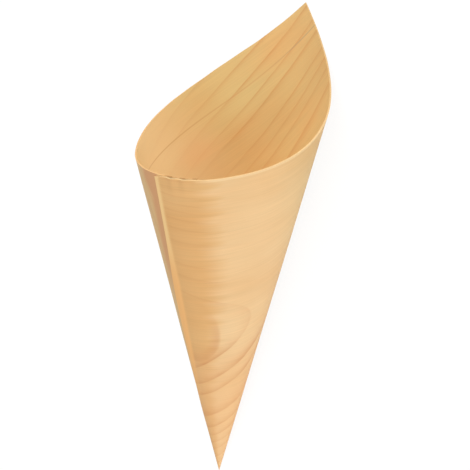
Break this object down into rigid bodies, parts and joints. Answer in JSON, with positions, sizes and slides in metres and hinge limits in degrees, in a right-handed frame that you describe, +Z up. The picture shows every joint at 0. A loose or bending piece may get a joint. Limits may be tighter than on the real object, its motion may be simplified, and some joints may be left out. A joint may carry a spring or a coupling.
{
  "type": "wooden food cone",
  "caption": "Pointed cone rolled from thin pine veneer with a glued overlap seam and a mouth that rises to a peak, for serving finger food.",
  "frame": {"origin": "middle of the floor area on which the cone lies, at floor level", "axes": "+Z up, +X from the tip towards the mouth along the line on which the cone lies, +Y to the left of that"},
  "size_m": [0.1876, 0.073, 0.0647],
  "materials": {
    "pine_veneer": "raw sliced pine, satin"
  },
  "bodies": {
    "root": {"veneer_cone": "pine_veneer"}
  },
  "joints": []
}
